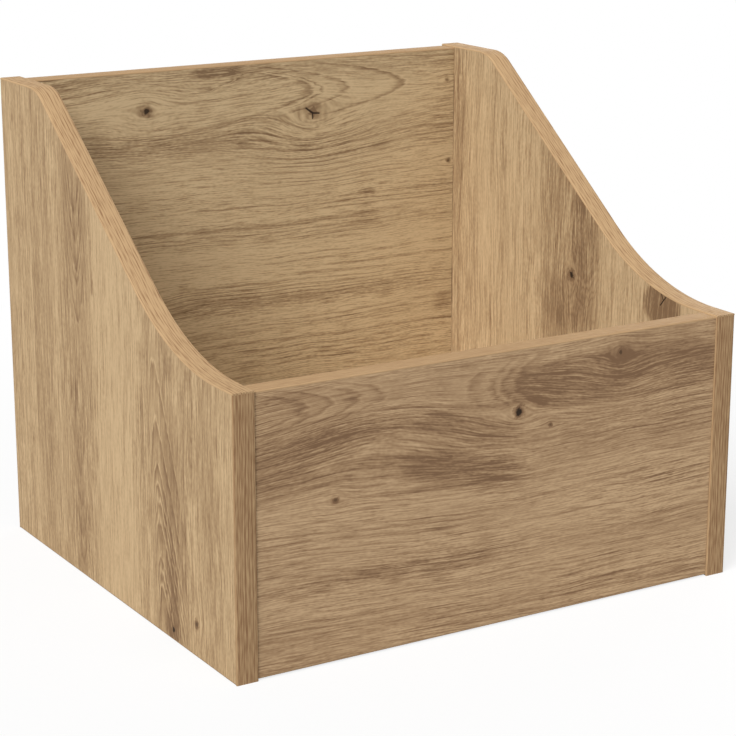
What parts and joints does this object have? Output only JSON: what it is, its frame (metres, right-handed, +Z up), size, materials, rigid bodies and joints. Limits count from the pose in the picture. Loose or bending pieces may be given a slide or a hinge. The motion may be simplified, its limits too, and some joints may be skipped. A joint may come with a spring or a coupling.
{
  "type": "record storage box",
  "caption": "Open-topped storage box for records: sloping S-curved side boards with a low front panel, a high back panel and a bottom between them.",
  "frame": {"origin": "middle of the box's footprint, on the floor that the side boards stand on", "axes": "+Z up; -Y towards the low front, +Y towards the high back; +X to the right as seen from the front"},
  "size_m": [0.375, 0.335, 0.325],
  "materials": {
    "oak_laminate": "satin",
    "oak_edge_band": "satin",
    "cam_zinc": "cast, dull",
    "bolt_steel": "zinc plated",
    "dowel_beech": "raw"
  },
  "bodies": {
    "root": {"left_side_board": "oak_laminate", "right_side_board": "oak_laminate", "front_panel": "oak_laminate", "back_panel": "oak_laminate", "bottom_panel": "oak_laminate", "left_top_edge_band": "oak_edge_band", "left_front_edge_band": "oak_edge_band", "left_rear_edge_band": "oak_edge_band", "left_bottom_edge_band": "oak_edge_band", "right_top_edge_band": "oak_edge_band", "right_front_edge_band": "oak_edge_band", "right_rear_edge_band": "oak_edge_band", "right_bottom_edge_band": "oak_edge_band", "front_panel_top_band": "oak_edge_band", "front_panel_bottom_band": "oak_edge_band", "back_panel_top_band": "oak_edge_band", "back_panel_bottom_band": "oak_edge_band", "left_cam_bolts": "bolt_steel", "right_cam_bolts": "bolt_steel", "front_panel_cam_locks": "cam_zinc", "back_panel_cam_locks": "cam_zinc", "bottom_panel_cam_locks": "cam_zinc", "left_side_dowels": "dowel_beech", "right_side_dowels": "dowel_beech", "bottom_to_front_dowels": "dowel_beech", "bottom_to_back_dowels": "dowel_beech"}
  },
  "joints": []
}
